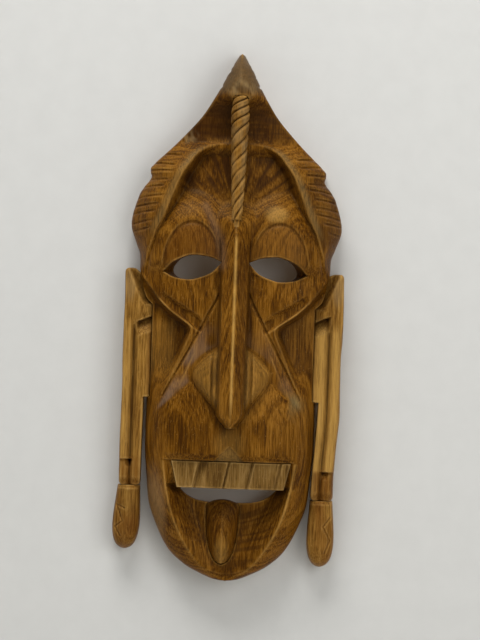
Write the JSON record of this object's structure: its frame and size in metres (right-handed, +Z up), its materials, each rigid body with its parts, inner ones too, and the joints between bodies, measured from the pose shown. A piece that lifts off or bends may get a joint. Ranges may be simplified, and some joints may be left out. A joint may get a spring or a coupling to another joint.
{
  "type": "carved wooden mask",
  "caption": "Tall carved wooden wall mask with pointed cap, twisted forehead braid, long ears with drops, tooth strip and open jaw; hollow back with a hanger ring",
  "frame": {"origin": "on the wall plane, at the flat back of the solid cap above the hollow", "axes": "+Z up along the face, -Y out of the wall towards the viewer, +X to the viewer's right"},
  "size_m": [0.1936, 0.0818, 0.4515],
  "materials": {
    "face_wood": "mid-brown waxed wood, satin, darker in the recesses",
    "teeth_wood": "paler tan wood, satin",
    "ear_wood": "yellowish sapwood, waxed satin",
    "dowel_wood": "bare pale wood",
    "hanger_steel": "zinc-plated sheet and wire, slightly dulled"
  },
  "bodies": {
    "mask": {"face": "face_wood", "forehead_braid": "face_wood", "upper_teeth": "teeth_wood", "tongue": "face_wood", "left_ear": "ear_wood", "right_ear": "ear_wood", "left_ear_drop": "ear_wood", "right_ear_drop": "ear_wood", "ear_dowels": "dowel_wood", "drop_pegs": "dowel_wood", "hanger_strap": "hanger_steel", "hanger_screws": "hanger_steel"},
    "ring": {"hanger_ring": "hanger_steel"}
  },
  "joints": [
    {"name": "ring_swing", "type": "hinge", "parent": "mask", "child": "ring", "pos_m": [0, -0.0191, -0.042], "axis": [1, 0, 0], "range_deg": [0, 180]}
  ]
}
